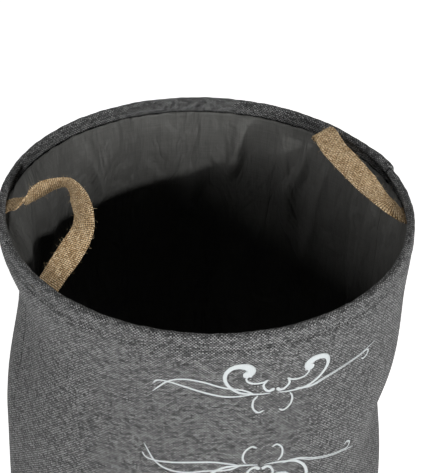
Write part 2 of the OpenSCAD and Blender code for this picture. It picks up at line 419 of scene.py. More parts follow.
# the lining's strong cloudy tone is partly uneven tone and partly painted sheen and painted crumple shade
lining_cloth = woven_material(
    "coated_lining", (0.45 * MM, 0.42 * MM),
    [(0.35, (0.078, 0.079, 0.076)), (0.65, (0.124, 0.124, 0.119))],
    slub=30 * MM, waver=0.1, width=0.95, contrast=0.0, bump=0.03 * MM, gap_painted_shade=0.15, rough=0.5,
    cloud=(14.0, 0.75), sheen=0.05, wrinkle=11 * MM)
jute_webbing = woven_material(
    "jute_webbing", (2.2 * MM, 1.95 * MM),
    [(0.33, (0.28, 0.17, 0.072)), (0.5, (0.60, 0.42, 0.23)), (0.66, (0.84, 0.66, 0.43))],
    slub=8 * MM, waver=0.06, width=0.70, contrast=0.14, bump=0.45 * MM, gap_painted_shade=0.97, rough=0.85,
    cloud=(30.0, 0.2), sheen=0.1, fleck=0.08)
binding_tape = woven_material(
    "binding_tape", (0.8 * MM, 0.6 * MM),
    [(0.35, (0.012, 0.012, 0.013)), (0.65, (0.04, 0.04, 0.042))],
    slub=8 * MM, waver=0.1, width=0.92, contrast=0.0, bump=0.1 * MM, gap_painted_shade=0.4, rough=0.8,
    cloud=(20.0, 0.3), sheen=0.05)
print("cloths mixed:", outer_cloth.name, lining_cloth.name, jute_webbing.name, binding_tape.name)


# %% [markdown]
# ## Thread, print, wire, sleeve and board
#
# The stitches are twisted thread, so their tone runs in slanting bands. The print is a thin flexible
# ink: the weave shows through it, and it is darker between the threads than on their tops. The hoop is
# drawn wire, the sleeve that joins it is crimped brass, and the board in the base is pale pressed sheet.


# %% Mix the small finishes
def thread_material():
    material, tree, shader = start_material("sewing_thread")
    place = add_node(tree, "ShaderNodeTexCoord")
    twist = add_node(tree, "ShaderNodeTexWave", {
        "Vector": place.outputs["Object"], "Scale": 900.0, "Distortion": 1.5, "Detail": 1.0},
        bands_direction="DIAGONAL")
    colour = ramp(tree, twist.outputs["Fac"], [(0.2, (0.09, 0.092, 0.095)), (0.8, (0.27, 0.275, 0.28))])
    tree.links.new(colour, shader.inputs["Base Color"])
    raised = add_node(tree, "ShaderNodeBump", {"Height": twist.outputs["Fac"], "Distance": 0.08 * MM})
    tree.links.new(raised.outputs["Normal"], shader.inputs["Normal"])
    shader.inputs["Roughness"].default_value = 0.6
    return material


def print_material():
    material, tree, shader = start_material("pale_print")
    place = add_node(tree, "ShaderNodeUVMap", uv_map="cloth")
    weave = use_group(tree, weave_group, {
        "Map": place.outputs["UV"], "Pitch Across": 1.5 * MM, "Pitch Along": 1.4 * MM,
        "Waver": 0.1, "Slub Length": 7 * MM})
    tone = use_group(tree, cloud_group, {"Scale": 60.0, "Strength": 0.25})
    ink = ramp(tree, weave.outputs["Height"], [(0.1, (0.34, 0.36, 0.37)), (0.4, (0.49, 0.525, 0.54))])
    tree.links.new(tinted(tree, ink, tone.outputs["Factor"]), shader.inputs["Base Color"])
    raised = add_node(tree, "ShaderNodeBump", {"Height": weave.outputs["Height"], "Distance": 0.25 * MM})
    tree.links.new(raised.outputs["Normal"], shader.inputs["Normal"])
    tree.links.new(maths(tree, "MULTIPLY_ADD", weave.outputs["Gap"], 0.2, 0.55), shader.inputs["Roughness"])
    return material


def metal_material(name, dark, pale, streak, rough):
    """Metal with fine scratches that run round the hoop."""
    material, tree, shader = start_material(name)
    place = add_node(tree, "ShaderNodeTexCoord")
    stretch = add_node(tree, "ShaderNodeMapping", {
        "Vector": place.outputs["Object"], "Scale": (1.0, 1.0, streak)})
    scratch = add_node(tree, "ShaderNodeTexNoise", {
        "Vector": stretch.outputs[0], "Scale": 120.0, "Detail": 6.0, "Roughness": 0.7})
    colour = ramp(tree, scratch.outputs["Fac"], [(0.3, dark), (0.7, pale)])
    tree.links.new(colour, shader.inputs["Base Color"])
    scuffed = maths(tree, "MULTIPLY_ADD", scratch.outputs["Fac"], 0.25, rough)
    tree.links.new(scuffed, shader.inputs["Roughness"])
    raised = add_node(tree, "ShaderNodeBump", {"Height": scratch.outputs["Fac"], "Distance": 0.02 * MM})
    tree.links.new(raised.outputs["Normal"], shader.inputs["Normal"])
    shader.inputs["Metallic"].default_value = 1.0
    return material


def board_material():
    material, tree, shader = start_material("pressed_board")
    place = add_node(tree, "ShaderNodeTexCoord")
    fleck = add_node(tree, "ShaderNodeTexNoise", {
        "Vector": place.outputs["Object"], "Scale": 500.0, "Detail": 5.0, "Roughness": 0.75})
    tone = use_group(tree, cloud_group, {"Scale": 12.0, "Strength": 0.3})
    base = ramp(tree, fleck.outputs["Fac"], [(0.3, (0.30, 0.24, 0.16)), (0.7, (0.60, 0.52, 0.39))])
    tree.links.new(tinted(tree, base, tone.outputs["Factor"]), shader.inputs["Base Color"])
    raised = add_node(tree, "ShaderNodeBump", {"Height": fleck.outputs["Fac"], "Distance": 0.1 * MM})
    tree.links.new(raised.outputs["Normal"], shader.inputs["Normal"])
    shader.inputs["Roughness"].default_value = 0.85
    return material


def fibre_material():
    material, tree, shader = start_material("jute_fibre")
    place = add_node(tree, "ShaderNodeTexCoord")
    patch = add_node(tree, "ShaderNodeTexNoise", {
        "Vector": place.outputs["Object"], "Scale": 700.0, "Detail": 2.0})
    colour = ramp(tree, patch.outputs["Fac"], [(0.35, (0.42, 0.29, 0.15)), (0.65, (0.80, 0.64, 0.42))])
    tree.links.new(colour, shader.inputs["Base Color"])
    tree.links.new(maths(tree, "MULTIPLY_ADD", patch.outputs["Fac"], 0.2, 0.6), shader.inputs["Roughness"])
    return material


sewing_thread = thread_material()
jute_fibre = fibre_material()
pale_print = print_material()
drawn_wire = metal_material("drawn_wire", (0.42, 0.42, 0.44), (0.66, 0.66, 0.68), 8.0, 0.25)
crimped_brass = metal_material("crimped_brass", (0.45, 0.31, 0.12), (0.78, 0.60, 0.30), 3.0, 0.3)
pressed_board = board_material()


# %% [markdown]
# ## Turning grids of points into cloth
#
# Each cloth piece starts as a grid of points on its outer face. Moving every point inward along the
# surface's normal gives the inner face, and closing the edges makes a thin closed shell. A map in metres
# goes with the grid, so the weave keeps its size wherever the cloth goes.


# %% Helpers for meshes
def normals_of(grid):
    """Unit normals of a grid of points, from its two directions."""
    across = np.gradient(grid, axis=0)
    along = np.gradient(grid, axis=1)
    normal = np.cross(across, along)
    return normal / np.linalg.norm(normal, axis=2, keepdims=True)


def make_object(name, points, faces, uvs, material):
    """A mesh object with smooth faces; uvs holds one pair for each point."""
    data = bpy.data.meshes.new(name)
    data.from_pydata(points, [], faces)
    data.polygons.foreach_set("use_smooth", np.ones(len(data.polygons), bool))
    layer = data.uv_layers.new(name="cloth")
    corner_points = np.zeros(len(data.loops), np.int32)
    data.loops.foreach_get("vertex_index", corner_points)
    layer.data.foreach_set("uv", np.asarray(uvs, np.float32)[corner_points].ravel())
    data.materials.append(material)
    data.validate()
    made = bpy.data.objects.new(name, data)
    bpy.context.collection.objects.link(made)
    return made


def shell_faces(rows, columns, turned=False, first=0):
    """Faces of a closed shell of two layers of one grid; turned swaps which way they point."""
    index = np.arange(rows * columns).reshape(rows, columns) + first
    a, b, c, d = index[:-1, :-1], index[1:, :-1], index[1:, 1:], index[:-1, 1:]
    if turned:
        b, d, index = d, b, index.T
    front = np.stack([a, b, c, d], axis=-1).reshape(-1, 4)
    back = front[:, ::-1] + index.size
    border = np.concatenate([index[:-1, 0], index[-1, :-1], index[:0:-1, -1], index[0, :0:-1]])
    following = np.roll(border, -1)
    edge = np.stack([following, border, border + index.size, following + index.size], axis=-1)
    return np.concatenate([front, back, edge]).tolist()


def make_shell(name, outer, inner, uv, material, turned=False):
    """A closed shell between two grids of points that share one map."""
    points = np.concatenate([outer.reshape(-1, 3), inner.reshape(-1, 3)]).tolist()
    flat_uv = uv.reshape(-1, 2)
    faces = shell_faces(*outer.shape[:2], turned)
    return make_object(name, points, faces, np.concatenate([flat_uv, flat_uv]), material)


def cloth_shell(name, outer, uv, thickness, material):
    """Cloth of an even thickness, from the grid of its outer face, whose normals point out."""
    return make_shell(name, outer, outer - normals_of(outer) * thickness, uv, material)


def on_tube(angle, radius, height):
    """Points at the given angle in degrees, radius and height."""
    a = np.radians(angle)
    return np.stack([radius * np.cos(a), radius * np.sin(a), height + 0 * a], axis=-1)


def apart(angle, other):
    """How far two directions round the tube are apart, in degrees, from 0 to 180."""
    return np.abs((angle - other + 180) % 360 - 180)


def hump(distance, width):
    return np.exp(-(distance / width) ** 2)


def ease(value, low, high):
    """0 below low, 1 above high, and smooth between them."""
    share = np.clip((value - low) / (high - low), 0, 1)
    return share * share * (3 - 2 * share)


# %% [markdown]
# ## How the tube of cloth stands
#
# Under the round hoop the soft cloth falls in a little: a waist that is deep at the left, slight at the
# right, and fades out downward. At the right a broad dent sits lower down. A few soft folds hang from the
# rim, and the two side seams pull in slightly. One function gives the outer radius anywhere, and the
# outer cloth, the seams, the lining and the print all use it, so they stay together.

# %% The shape of the tube
WAIST_Z = hem_low - 64 * MM
FOLDS = [
    # angle, top, bottom, depth, width in degrees, lean in degrees from top to bottom
    (-175, 455 * MM, 215 * MM, 3.4 * MM, 5.5, 6),
    (174, 440 * MM, 180 * MM, -2.2 * MM, 6.5, 3),
    (-150, 470 * MM, 330 * MM, 1.3 * MM, 5, 9),
    (-128, 400 * MM, 60 * MM, 1.6 * MM, 8, -6),
    (-50, 380 * MM, 90 * MM, 1.8 * MM, 9, 10),
    (-12, 400 * MM, 80 * MM, -1.6 * MM, 8, -8),
    (30, 430 * MM, 120 * MM, 2.4 * MM, 9, 6),
    (62, 445 * MM, 90 * MM, 1.6 * MM, 7, -9),
    (100, 450 * MM, 140 * MM, -1.5 * MM, 9, 8),
    (128, 430 * MM, 60 * MM, 2.2 * MM, 8, 5),
]


WAIST_DEPTH = 2.0 * MM
WAIST_DEEPER = [
    # angle, extra depth, width in degrees
    (166, 14.0 * MM, 40),
    (-95, 3.0 * MM, 45),
    (-32, -1.0 * MM, 25),
]
LOW_DENT_DEPTH = 15.0 * MM
LOW_DENT_ANGLE = -34
LOW_DENT_Z = 0.280


def fold_depth(angle, height, folds):
    total = 0.0
    for middle, top, bottom, depth, width, lean in folds:
        share = np.clip((top - height) / (top - bottom), 0, 1)
        within = np.sin(math.pi * share) ** 0.8
        total = total + depth * within * hump(apart(angle, middle + lean * share), width)
    return total


def tube_radius(angle, height):
    """Radius of the outer cloth's face, in metres, at an angle in degrees and a height."""
    above = np.clip((height - WAIST_Z) / (hem_low - WAIST_Z), 0, 1)
    below = np.clip((WAIST_Z - height) / (140 * MM), 0, 1)
    waist = (1 + np.cos(math.pi * np.maximum(above, below))) / 2
    depth = WAIST_DEPTH
    for middle, extra, width in WAIST_DEEPER:
        depth = depth + extra * hump(apart(angle, middle), width)
    low_dent = LOW_DENT_DEPTH * hump(apart(angle, LOW_DENT_ANGLE), 27) * hump(height - LOW_DENT_Z, 0.053)
    radius = body_r - depth * waist - low_dent - fold_depth(angle, height, FOLDS)
    a = np.radians(angle)
    loose = ease(height, 0.0, 60 * MM) * (1 - ease(height, hem_low - 70 * MM, hem_low))
    slow = np.sin(3 * a + 9 * height + 0.4) * np.sin(14 * height + 2 * a) + 0.6 * np.sin(5 * a - 17 * height)
    radius = radius - 0.9 * MM * loose * (slow + 0.8)
    from_seam = np.minimum(apart(angle, 0), apart(angle, 180)) * math.pi / 180 * body_r
    radius = radius - 0.9 * MM * hump(from_seam, 2.2 * MM)
    pucker = np.sin(height / (7 * MM)) * np.sin(height / (19 * MM) + 1.0)
    radius = radius - 0.45 * MM * (1 + pucker) * hump(from_seam, 11 * MM) * loose
    tucked = 3.0 * MM * (1 - ease(height, 0.0, 14 * MM)) ** 2
    under_hem = 0.9 * MM * ease(height, hem_low - 5 * MM, hem_low - 1 * MM)
    return radius - tucked - under_hem


# %% [markdown]
# ## The two outer panels
#
# The outer cloth is cut in two panels that meet at the side seams, under the handles. Each is a grid over
# half the tube, thickened inward.

# %% Sew the outer panels
wall_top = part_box("outer_wall_front")[1][2]
WALL_ROWS = 230
WALL_COLUMNS = 122


def half_grid(front, rows, low, high, columns):
    """Angles and heights of a grid over the front or the back half of the tube."""
    start = 180.0 if front else 0.0
    angles = start + np.linspace(0.06, 179.94, rows)
    heights = np.linspace(low, high, columns)
    return np.meshgrid(angles, heights, indexing="ij")


def outer_panel(name, front):
    angle, height = half_grid(front, WALL_ROWS, 0.0, wall_top, WALL_COLUMNS)
    radius = tube_radius(angle, height)
    uv = np.stack([np.radians(angle) * body_r, height], axis=-1)
    return cloth_shell(name, on_tube(angle, radius, height), uv, cloth_t, outer_cloth)


front_panel = outer_panel("outer_cloth_front", True)
back_panel = outer_panel("outer_cloth_back", False)
print("outer panels:", len(front_panel.data.polygons), "faces each")


# %% [markdown]
# ## Side seams
#
# Inside each side seam the two panels' edges are pressed open. They lie between the outer cloth and the
# lining, so they only show when the hamper is cut, but they are there.


# %% Press the side seams
SEAM_WIDTH = 24 * MM


def side_seam(name, node, middle):
    low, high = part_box(node)
    half = math.degrees(SEAM_WIDTH / 2 / body_r)
    angle, height = np.meshgrid(
        np.linspace(middle - half, middle + half, 25), np.linspace(low[2], high[2], 100), indexing="ij")
    radius = tube_radius(angle, height) - cloth_t - 0.25 * MM
    uv = np.stack([np.radians(angle) * body_r, height], axis=-1)
    return cloth_shell(name, on_tube(angle, radius, height), uv, 0.9 * MM, outer_cloth)


left_seam = side_seam("side_seam_left_allowance", "side_seam_left", 180)
right_seam = side_seam("side_seam_right_allowance", "side_seam_right", 0)

# %% [markdown]
# ## The lining
#
# The lining hangs from the same hem, a couple of millimetres inside. It is cut a touch larger than the
# tube, so it has creases of its own, and it is puckered just under the hem where the stitching draws it
# in. Its creases only ever stand towards the middle, so it never cuts the outer cloth.

# %% Hang the lining
LINING_GAP = 2.6 * MM
LINING_CREASES = [
    # angle, top, bottom, height of the crease, width in degrees, lean in degrees from top to bottom
    (4, 474 * MM, 290 * MM, 9.0 * MM, 2.6, 4),
    (15, 452 * MM, 270 * MM, 8.0 * MM, 2.2, -7),
    (27, 470 * MM, 300 * MM, 6.0 * MM, 3.0, 6),
    (43, 482 * MM, 330 * MM, 7.0 * MM, 2.8, -4),
    (34, 476 * MM, 400 * MM, 5.0 * MM, 1.9, 5),
    (56, 484 * MM, 405 * MM, 9.0 * MM, 2.8, 5),
    (67, 476 * MM, 350 * MM, 4.0 * MM, 3.4, 9),
    (82, 478 * MM, 330 * MM, 5.0 * MM, 4.2, -11),
    (98, 480 * MM, 360 * MM, 5.4 * MM, 3.0, 12),
    (109, 474 * MM, 400 * MM, 6.5 * MM, 2.0, -4),
    (124, 476 * MM, 340 * MM, 5.0 * MM, 3.4, 7),
    (136, 480 * MM, 385 * MM, 7.0 * MM, 2.6, -5),
    (156, 474 * MM, 320 * MM, 9.0 * MM, 8.5, -2),
    (-9, 474 * MM, 350 * MM, 5.5 * MM, 2.6, 5),
    (-40, 440 * MM, 200 * MM, 2.5 * MM, 5.0, 8),
    (-80, 430 * MM, 150 * MM, 2.5 * MM, 6.0, -8),
    (-120, 450 * MM, 160 * MM, 2.5 * MM, 5.0, 9),
    (-160, 440 * MM, 140 * MM, 2.0 * MM, 6.0, -6),
]


def lining_radius(angle, height):
    a = np.radians(angle)
    radius = tube_radius(angle, height) - cloth_t - LINING_GAP
    radius = radius - np.maximum(fold_depth(angle, height, LINING_CREASES), 0)
    crumple = np.sin(11 * a + 31 * height) * np.sin(7 * a - 43 * height + 1)
    crumple = crumple + 0.5 * np.sin(23 * a + 60 * height)
    slack = ease(height, 30 * MM, 120 * MM)
    radius = radius - 0.7 * MM * slack * (1 + crumple / 1.5)
    ripple = np.sin(47 * a + 2 * np.sin(5 * a)) * (0.6 + 0.4 * np.sin(13 * a)) + 0.5 * np.sin(81 * a + 1)
    drawn = np.exp(-np.maximum(hem_low - height, 0) / (11 * MM))
    radius = radius - 0.8 * MM * drawn * (1.5 + ripple)
    return radius + 1.3 * MM * ease(height, hem_low - 14 * MM, hem_low - 3 * MM)


def lining_panel(name, front):
    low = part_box("lining_front")[0][2]
    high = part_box("lining_front")[1][2]
    angle, height = half_grid(front, 420, low, high, 110)
    radius = lining_radius(angle, height)
    uv = np.stack([np.radians(angle) * body_r, height], axis=-1)
    outer = on_tube(angle, radius + lining_t, height)
    return cloth_shell(name, outer, uv, lining_t, lining_cloth)


lining_front = lining_panel("lining_cloth_front", True)
lining_back = lining_panel("lining_cloth_back", False)


# %% [markdown]
# ## The rolled rim
#
# The outer cloth is turned over the hoop, down inside and stitched through. In section that is a round
# roll on top of a flat hem of several layers. The roll is never perfect: it waves a little, bulges
# between the stitches and pinches along the seam line. The section is swept round half the hoop at a
# time, because the front and back panels meet in small steps over the side seams.

# %% Roll the rim
hem_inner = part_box("rim_casing_back")[1][0] - 5.5 * MM
STITCH_DROP = 10.2 * MM
STITCH_PITCH = 2 * math.pi * body_r / 264
BACK_PROUD = 2.4 * MM
FRONT_SLIM = 0.7 * MM


def casing_section():
    """The cloth's outer face in section, as (radius, height), from outside over the roll to inside."""
    outer_face = [(body_r + 0.35 * MM, hem_low - 0.2 * MM), (body_r + 0.5 * MM, hem_low + 0.8 * MM),
                  (body_r + 0.3 * MM, hem_low + 2.2 * MM), (body_r - 0.15 * MM, hem_low + 3.8 * MM),
                  (body_r - 0.1 * MM, hem_low + 5.2 * MM), (body_r + 0.1 * MM, hem_low + 7.5 * MM)]
    roll = [(hoop_r + roll_r * math.cos(math.radians(t)), hoop_z + roll_r * math.sin(math.radians(t)))
            for t in range(0, 216, 9)]
    inner_face = [(hem_inner + 1.0 * MM, hem_low + 7.0 * MM), (hem_inner - 0.2 * MM, hem_low + 5.2 * MM),
                  (hem_inner + 0.35 * MM, hem_low + 3.6 * MM), (hem_inner - 0.2 * MM, hem_low + 2.2 * MM),
                  (hem_inner - 0.3 * MM, hem_low + 0.9 * MM), (hem_inner + 0.1 * MM, hem_low)]
    return outer_face + roll + inner_face


def rim_wave(angle):
    """How far the hoop's cloth stands above its even height, in metres."""
    a = np.radians(angle)
    return 0.45 * MM * np.sin(2 * a + 2.6) + 0.35 * MM * np.sin(3 * a - 0.7) + 0.12 * MM * np.sin(17 * a)


def rim_casing(name, front):
    start = 180.0 if front else 0.0
    angles = start + np.linspace(0.03, 179.97, 700)
    section = np.array(casing_section())
    angle = np.repeat(angles[:, None], len(section), axis=1)
    radius = np.repeat(section[None, :, 0], len(angles), axis=0)
    height = np.repeat(section[None, :, 1], len(angles), axis=0)
    a = np.radians(angle)
    arc = a * body_r
    slack = 0.16 * MM * np.sin(41 * a + 3 * np.sin(6 * a)) + 0.10 * MM * np.sin(97 * a + height * 900)
    sewn = hump(height - rim_top + STITCH_DROP, 2.4 * MM)
    pinch = 0.14 * MM * np.sin(2 * math.pi * arc / STITCH_PITCH) * sewn
    out_r, out_z = radius - hoop_r, height - hoop_z
    reach = np.hypot(out_r, out_z)
    grow = (slack + pinch) / reach
    from_seam = np.minimum(apart(angle, 0), apart(angle, 180)) * math.pi / 180 * body_r
    outward = np.clip(out_r / reach + 0.3, 0, 1)
    if front:
        proud = -FRONT_SLIM * hump(apart(angle, -171), 13)
    else:
        proud = BACK_PROUD * hump(apart(angle, 3), 9)
    grow = grow + (proud * outward - 1.6 * MM * hump(from_seam, 1.3 * MM)) / reach
    radius = radius + out_r * grow
    height = height + out_z * grow + rim_wave(angle)
    lengths = np.hypot(*np.diff(section, axis=0).T)
    girth = np.concatenate([[0], np.cumsum(lengths)])
    uv = np.stack([arc, np.broadcast_to(girth, arc.shape)], axis=-1)
    return cloth_shell(name, on_tube(angle, radius, height), uv, cloth_t, outer_cloth), girth[-1]


def swept_tube(name, points, arc, section, material):
    """A closed skin round a section that runs along the grid's first direction, with its ends closed."""
    rows, columns = points.shape[:2]
    lengths = np.hypot(*np.diff(np.vstack([section, section[:1]]), axis=0).T)
    girth = np.concatenate([[0], np.cumsum(lengths)[:-1]])
    uv = np.stack([arc, np.broadcast_to(girth, arc.shape)], axis=-1)
    index = np.arange(rows * columns).reshape(rows, columns)
    following = np.roll(index, -1, axis=1)
    faces = np.stack([index[:-1], index[1:], following[1:], following[:-1]], axis=-1).reshape(-1, 4).tolist()
    faces += [index[0].tolist(), index[-1][::-1].tolist()]
    return make_object(name, points.reshape(-1, 3).tolist(), faces, uv.reshape(-1, 2), material)


casing_front, casing_girth = rim_casing("rim_roll_front", True)
casing_back, casing_girth = rim_casing("rim_roll_back", False)
print("rim casing:", len(casing_front.data.polygons), "faces each half")

# %% [markdown]
# ## Stitches
#
# A row of stitches is one small shape repeated along a line, which is what Geometry Nodes are for. The
# tree spaces points along a curve, lays a short rounded dash on each, turned along the curve and a little
# out of true, and gives them the thread's finish. The same tree sews the hem and the bound seam of the
# base, with other values.


# %% Helpers for Geometry Nodes
def new_geometry_tree(name, inputs):
    """A geometry tree, its inputs' outputs inside it, and each input's identifier by name."""
    tree = bpy.data.node_groups.new(name, "GeometryNodeTree")
    sockets = {}
    for label, (kind, default) in inputs.items():
        socket = tree.interface.new_socket(label, in_out="INPUT", socket_type="NodeSocket" + kind)
        if default is not None:
            socket.default_value = default
        sockets[label] = socket.identifier
    tree.interface.new_socket("Made", in_out="OUTPUT", socket_type="NodeSocketGeometry")
    return tree, tree.nodes.new("NodeGroupInput").outputs, sockets


def place_copies(tree, points, shape, rotation, lean, size, material):
    """Puts the shape on each point, turned and leaned over, as real faces with their material."""
    leaning = add_node(tree, "FunctionNodeEulerToRotation", {0: lean})
    turned = add_node(tree, "FunctionNodeRotateRotation", {
        "Rotation": rotation, "Rotate By": leaning.outputs[0]}, rotation_space="LOCAL")
    placed = add_node(tree, "GeometryNodeInstanceOnPoints", {
        "Points": points, "Instance": shape, "Rotation": turned.outputs[0], "Scale": size})
    real = add_node(tree, "GeometryNodeRealizeInstances", {0: placed.outputs[0]})
    done = add_node(tree, "GeometryNodeSetMaterial", {0: real.outputs[0], "Material": material})
    add_node(tree, "NodeGroupOutput", {0: done.outputs[0]})


def run_tree(carrier, tree, sockets, name, values):
    """Runs the tree on a carrier with the given inputs, and keeps the result as a plain mesh."""
    bpy.context.collection.objects.link(carrier)
    modifier = carrier.modifiers.new(tree.name, "NODES")
    modifier.node_group = tree
    for label, value in values.items():
        modifier[sockets[label]] = value
    evaluated = carrier.evaluated_get(bpy.context.evaluated_depsgraph_get())
    data = bpy.data.meshes.new_from_object(evaluated)
    data.name = name
    bpy.data.objects.remove(carrier)
    made = bpy.data.objects.new(name, data)
    bpy.context.collection.objects.link(made)
    print(name, "has", len(data.polygons), "faces")
    return made


# %% [markdown]
# ## One stitch after another
#
# The stitch is a sphere of a few dozen faces, drawn long and thin by its scale. Its random lean has a
# fixed seed, so the same stitches come out crooked each time.


# %% The stitching tree
def make_stitch_tree():
    tree, given, sockets = new_geometry_tree("sew_along_curve", {
        "Curve": ("Geometry", None), "Pitch": ("Float", 4.5 * MM), "Length": ("Float", 3.2 * MM),
        "Thread Radius": ("Float", 0.3 * MM), "Unevenness": ("Float", 0.05), "Seed": ("Int", 3),
        "Thread": ("Material", None)})
    spaced = add_node(tree, "GeometryNodeCurveToPoints", {"Curve": given["Curve"], "Length": given["Pitch"]},
                      mode="LENGTH")
    dash = add_node(tree, "GeometryNodeMeshUVSphere", {"Segments": 8, "Rings": 6, "Radius": 1.0})
    smooth = add_node(tree, "GeometryNodeSetShadeSmooth", {0: dash.outputs["Mesh"]})
    lean = add_node(tree, "FunctionNodeRandomValue", {"Seed": given["Seed"]}, data_type="FLOAT_VECTOR")
    for limit, one in (("Min", (-1, -1, -1)), ("Max", (1, 1, 1))):
        scaled = add_node(tree, "ShaderNodeVectorMath", {0: one, 3: given["Unevenness"]}, operation="SCALE")
        tree.links.new(scaled.outputs[0], lean.inputs[limit])
    half = add_node(tree, "ShaderNodeMath", {0: given["Length"], 1: 2.0}, operation="DIVIDE")
    size = add_node(tree, "ShaderNodeCombineXYZ", {
        0: given["Thread Radius"], 1: given["Thread Radius"], 2: half.outputs[0]})
    place_copies(tree, spaced.outputs["Points"], smooth.outputs[0], spaced.outputs["Rotation"],
                 lean.outputs["Value"], size.outputs[0], given["Thread"])
    return tree, sockets


stitch_tree, stitch_sockets = make_stitch_tree()


def sew(name, rows, values):
    """Stitches along each row of points, as one plain mesh."""
    curve = bpy.data.curves.new(name + "_line", "CURVE")
    curve.dimensions = "3D"
    for row in rows:
        line = curve.splines.new("POLY")
        line.points.add(len(row) - 1)
        line.points.foreach_set("co", np.hstack([row, np.ones((len(row), 1))]).ravel())
        line.use_cyclic_u = True
    carrier = bpy.data.objects.new(name + "_line", curve)
    return run_tree(carrier, stitch_tree, stitch_sockets, name, {**values, "Thread": sewing_thread})


# %% [markdown]
# ## The hem's stitches
#
# The hem is sewn through once, so one row of stitches shows outside and one inside. Both follow the
# rim's small waves.


# %% Sew the hem
def hem_row(radius, height):
    angles = np.linspace(0, 360, 720, endpoint=False)
    return on_tube(angles, radius + 0 * angles, height + rim_wave(angles))


hem_stitches = sew("hem_stitches", [
    hem_row(body_r + 0.05 * MM, rim_top - STITCH_DROP),
    hem_row(hem_inner + 0.2 * MM, rim_top - STITCH_DROP - 0.3 * MM)],
    {"Pitch": STITCH_PITCH, "Length": 3.1 * MM, "Thread Radius": 0.32 * MM})

# %% [markdown]
# ## The base
#
# The base is a cloth disc outside, the stiff board, and a lining disc that has settled over it. The walls
# and the base are joined by a seam whose edges are wrapped in tape, and it stands up inside the corner.


# %% Lay the base cloths
def tidy_mesh(made):
    """Drops the points that no face uses."""
    work = bmesh.new()
    work.from_mesh(made.data)
    bmesh.ops.delete(work, geom=[v for v in work.verts if not v.link_faces], context="VERTS")
    work.to_mesh(made.data)
    work.free()
    return made


def disc_sheet(name, radius, bottom, thickness, ripple, material):
    """A round sheet, with its middle in small steps so that its ripples show."""
    rings = np.linspace(0.004, 1.0, 60)
    angle, share = np.meshgrid(np.linspace(0, 360, 181), rings, indexing="ij")
    a = np.radians(angle)
    waves = np.sin(3 * a + 1) * np.sin(math.pi * share) + 0.5 * np.sin(7 * a) * share ** 3 * (1 - share)
    lift = ripple * waves
    top = on_tube(angle, radius * share, bottom + thickness + np.abs(lift))
    columns, rows = top.shape[:2]
    index = np.arange(columns * rows).reshape(columns, rows)
    index[-1] = index[0]
    faces = [[index[i, k], index[i, k + 1], index[i + 1, k + 1], index[i + 1, k]]
             for i in range(columns - 1) for k in range(rows - 1)]
    faces += [index[:-1, 0].tolist()]
    count = columns * rows
    under = [[p + count for p in face[::-1]] for face in faces]
    rim = index[:, -1].tolist()
    skirt = [[rim[i], rim[i] + count, rim[i + 1] + count, rim[i + 1]] for i in range(columns - 1)]
    low = top.copy()
    low[..., 2] -= thickness
    points = np.concatenate([top.reshape(-1, 3), low.reshape(-1, 3)])
    made = make_object(name, points.tolist(), faces + under + skirt, points[:, :2], material)
    return tidy_mesh(made)


base_cloth = disc_sheet("base_cloth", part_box("base_outer")[1][0], 0.0, cloth_t, 0.0, outer_cloth)
base_lining_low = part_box("base_lining")[0][2]
base_lining_cloth = disc_sheet(
    "base_lining_cloth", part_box("base_lining")[1][0], base_lining_low, lining_t, 0.7 * MM, lining_cloth)


# %% [markdown]
# ## The bound seam of the base
#
# The tape is folded over the raw edges of the seam. In section it is a low, slightly rounded strip, and
# it puckers a little where the thread draws it in. A row of longer stitches runs through it.


# %% Bind the base seam
def bound_seam():
    outer = binding_high[0]
    inner = outer - 2.4 * MM
    low, high = binding_low[2], binding_high[2]
    top = 1.2 * MM
    section = [(outer, low), (outer, high - top), (outer - 0.4 * MM, high - 0.3 * MM), (outer - top, high),
               (inner + 0.4 * MM, high - 0.3 * MM), (inner, high - top), (inner - 0.15 * MM, high - 4 * MM),
               (inner + 0.1 * MM, high - 6 * MM), (inner, low)]
    section = np.array(section)
    angles = np.linspace(0, 360, 481)
    angle = np.repeat(angles[:, None], len(section), axis=1)
    a = np.radians(angle)
    radius = section[None, :, 0] - 0.2 * MM * (1 + np.sin(53 * a + 2 * np.sin(4 * a))) / 2
    height = section[None, :, 1] + 0.25 * MM * np.sin(19 * a) * (section[None, :, 1] > low + 1 * MM)
    points = on_tube(angle, radius, height)
    return swept_tube("bound_base_seam", points, a * body_r, section, binding_tape)


base_binding = bound_seam()
seam_row_r = binding_high[0] - 2.4 * MM - 0.1 * MM
seam_row_z = binding_low[2] + 0.6 * (binding_high[2] - binding_low[2])
base_stitches = sew("base_seam_stitches", [
    on_tube(np.linspace(0, 360, 720, endpoint=False), seam_row_r + np.zeros(720), seam_row_z)],
    {"Pitch": 7 * MM, "Length": 4.2 * MM, "Thread Radius": 0.3 * MM})


# %% [markdown]
# ## Webbing straps
#
# Each handle is one length of jute webbing whose ends are tucked into the hem. Flat webbing bends easily
# across its face and hardly at all in its plane, so where it has to turn it twists or folds. The left one
# stands on its edge over the mouth, turns at a crest and comes back lying open. The right one leaves its
# far end underneath, folds over itself and lies flat along the wall. Each is a list of stations: how far
# inward from the hinge line, how far along the rim, how far up, and which way the webbing's width points.
# A smooth curve joins them, and the weave is raised in the mesh itself, because it is coarse enough to see.

